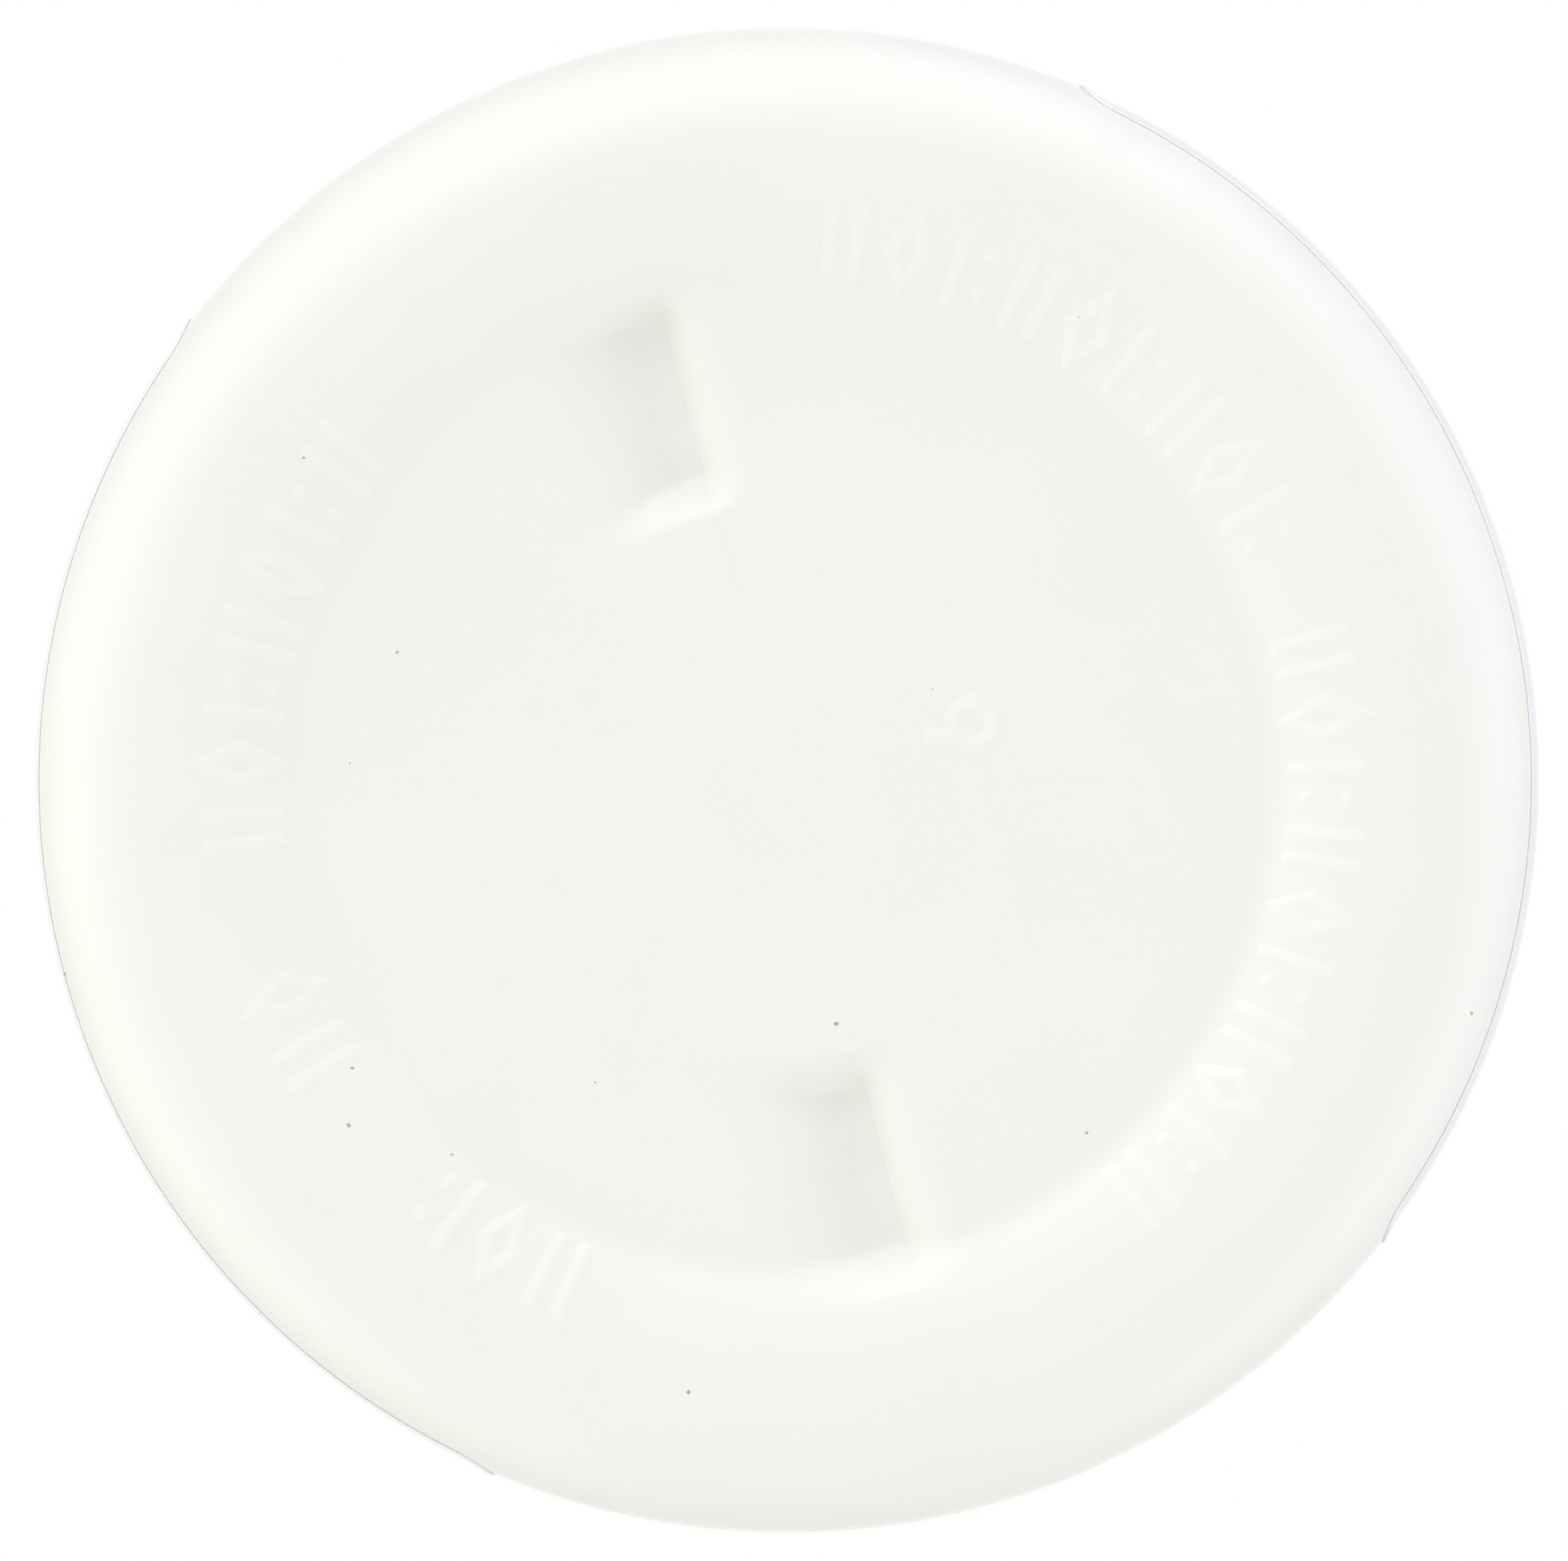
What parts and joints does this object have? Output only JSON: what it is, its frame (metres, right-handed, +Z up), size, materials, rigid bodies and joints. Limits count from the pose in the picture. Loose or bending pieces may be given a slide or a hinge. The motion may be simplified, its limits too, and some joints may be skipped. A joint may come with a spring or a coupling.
{
  "type": "shaving soap tub",
  "caption": "Round white wide-mouth jar with a ribbed screw cap, holding a pressed shaving soap puck; recessed base with two register notches.",
  "frame": {"origin": "centre of the standing ring on the jar's underside, at the height that the jar stands on", "axes": "+Z up through the mouth and the cap; the mould parting plane holds Z and lies 75.3 degrees from +X, so +X points close to the middle of the front label"},
  "size_m": [0.078, 0.0776, 0.0584],
  "materials": {
    "jar_plastic": "satin white blow-moulded polyethylene",
    "label_film": "smooth white printed film",
    "soap": "cream hard soap, fine waxy grain",
    "liner_foam": "white foamed polyethylene",
    "cap_plastic": "satin white polypropylene, ribbed skirt"
  },
  "bodies": {
    "jar": {"jar_body": "jar_plastic", "front_label": "label_film", "back_label": "label_film"},
    "puck": {"soap_puck": "soap"},
    "liner": {"cap_liner": "liner_foam"},
    "cap": {"screw_cap": "cap_plastic"}
  },
  "joints": [
    {"name": "puck_lift", "type": "slide", "parent": "jar", "child": "puck", "axis": [0, 0, 1], "range_m": [0, 0.02]},
    {"name": "cap_rise", "type": "slide", "parent": "jar", "child": "liner", "axis": [0, 0, 1], "range_m": [0, 0.03388]},
    {"name": "cap_turn", "type": "hinge", "parent": "liner", "child": "cap", "pos_m": [0, 0, 0.05], "axis": [0, 0, 1], "range_deg": [0, 2880]}
  ],
  "couplings": [
    {"joint": "cap_rise", "follows": "cap_turn", "m_per_rad": 0.00067376}
  ]
}
